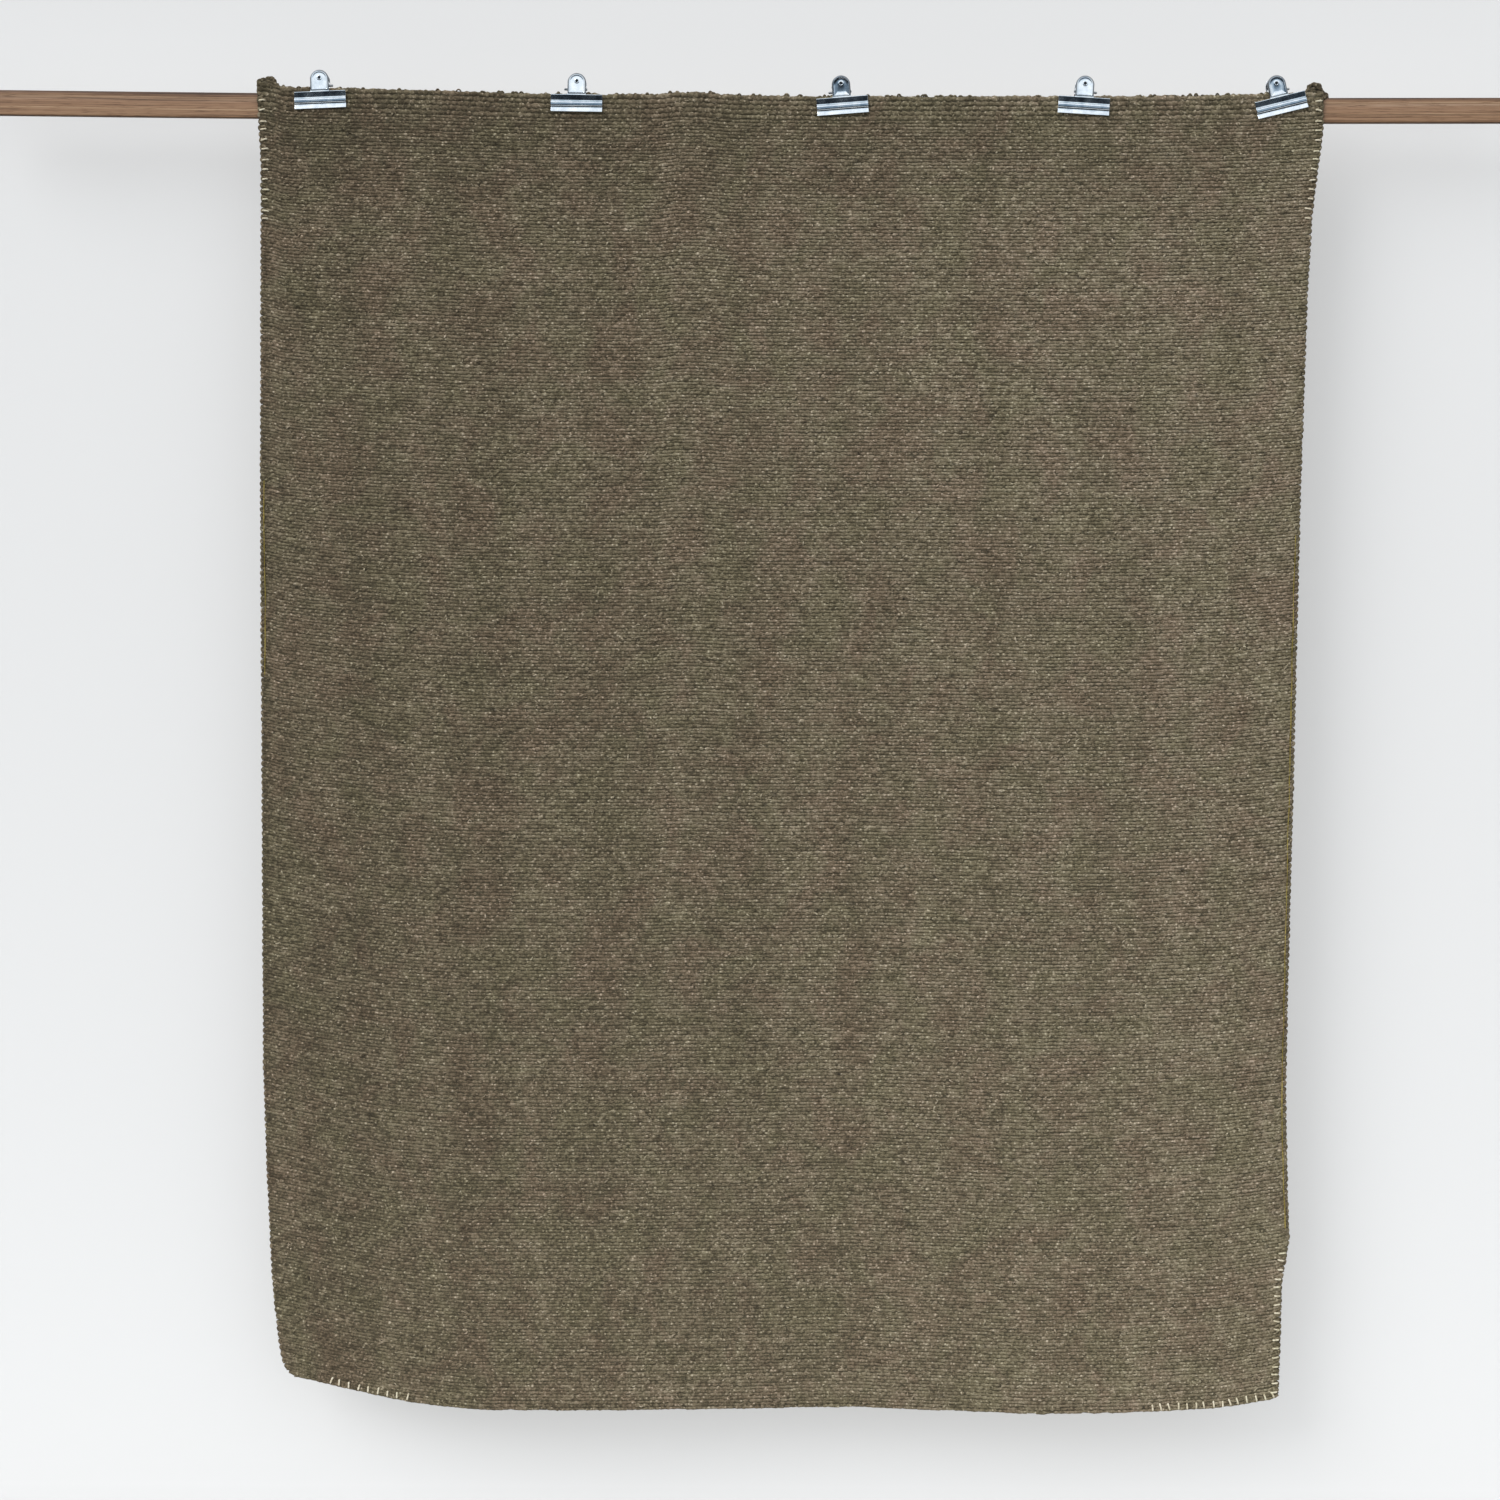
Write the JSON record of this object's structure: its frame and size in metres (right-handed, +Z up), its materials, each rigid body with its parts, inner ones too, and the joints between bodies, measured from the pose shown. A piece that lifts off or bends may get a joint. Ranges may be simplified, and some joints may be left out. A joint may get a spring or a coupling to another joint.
{
  "type": "tapestry wall hanging",
  "caption": "Heavy handwoven wool cloth hung on a wooden batten by sprung steel bulldog clips whose jaws open; blanket-stitched edges.",
  "frame": {"origin": "middle of the batten's length, on its back face, halfway up its ends", "axes": "+X along the batten to the right seen from the front, +Y back towards the wall, +Z up"},
  "size_m": [2.1, 0.0263, 1.823],
  "materials": {
    "batten_wood": "sanded bare softwood, fine straight grain",
    "cloth_wool": "matt slub wool, weft-faced ribs",
    "cream_thread": "matt cream wool thread",
    "ochre_thread": "matt ochre wool thread",
    "clip_steel": "bright nickel plate over stamped steel, faintly brushed",
    "spring_steel": "drawn spring steel wire, plated"
  },
  "bodies": {
    "root": {"hanging_batten": "batten_wood", "woven_cloth": "cloth_wool", "blanket_stitch_top_left": "cream_thread", "blanket_stitch_top_right": "cream_thread", "blanket_stitch_bottom_left": "cream_thread", "blanket_stitch_bottom_right": "cream_thread", "selvedge_warp_left": "ochre_thread", "selvedge_warp_right": "ochre_thread", "corner_knot_left": "cloth_wool", "corner_knot_right": "cloth_wool", "clip_1_rear_jaw": "clip_steel", "clip_1_pivot_pin": "spring_steel", "clip_1_torsion_spring": "spring_steel", "clip_2_rear_jaw": "clip_steel", "clip_2_pivot_pin": "spring_steel", "clip_2_torsion_spring": "spring_steel", "clip_3_rear_jaw": "clip_steel", "clip_3_pivot_pin": "spring_steel", "clip_3_torsion_spring": "spring_steel", "clip_4_rear_jaw": "clip_steel", "clip_4_pivot_pin": "spring_steel", "clip_4_torsion_spring": "spring_steel", "clip_5_rear_jaw": "clip_steel", "clip_5_pivot_pin": "spring_steel", "clip_5_torsion_spring": "spring_steel"},
    "clip_1_front": {"clip_1_front_jaw": "clip_steel"},
    "clip_2_front": {"clip_2_front_jaw": "clip_steel"},
    "clip_3_front": {"clip_3_front_jaw": "clip_steel"},
    "clip_4_front": {"clip_4_front_jaw": "clip_steel"},
    "clip_5_front": {"clip_5_front_jaw": "clip_steel"}
  },
  "joints": [
    {"name": "clip_1_jaw_hinge", "type": "hinge", "parent": "root", "child": "clip_1_front", "pos_m": [-0.58539, -0.00815, 0.02464], "axis": [-0.9989, 0, -0.0471], "range_deg": [0, 30], "stiffness_Nm_per_rad": 0.3, "springref_deg": -57.3, "deforming": ["clip_1_torsion_spring"]},
    {"name": "clip_2_jaw_hinge", "type": "hinge", "parent": "root", "child": "clip_2_front", "pos_m": [-0.2357, -0.00815, 0.0219], "axis": [-0.9999, 0, 0.0105], "range_deg": [0, 30], "stiffness_Nm_per_rad": 0.3, "springref_deg": -57.3, "deforming": ["clip_2_torsion_spring"]},
    {"name": "clip_3_jaw_hinge", "type": "hinge", "parent": "root", "child": "clip_3_front", "pos_m": [0.12415, -0.00815, 0.02026], "axis": [-0.9966, 0, -0.0819], "range_deg": [0, 30], "stiffness_Nm_per_rad": 0.3, "springref_deg": -57.3, "deforming": ["clip_3_torsion_spring"]},
    {"name": "clip_4_jaw_hinge", "type": "hinge", "parent": "root", "child": "clip_4_front", "pos_m": [0.45498, -0.00815, 0.02195], "axis": [-0.9983, 0, 0.0576], "range_deg": [0, 30], "stiffness_Nm_per_rad": 0.3, "springref_deg": -57.3, "deforming": ["clip_4_torsion_spring"]},
    {"name": "clip_5_jaw_hinge", "type": "hinge", "parent": "root", "child": "clip_5_front", "pos_m": [0.71761, -0.00815, 0.02377], "axis": [-0.9703, 0, -0.2419], "range_deg": [0, 30], "stiffness_Nm_per_rad": 0.3, "springref_deg": -57.3, "deforming": ["clip_5_torsion_spring"]}
  ]
}
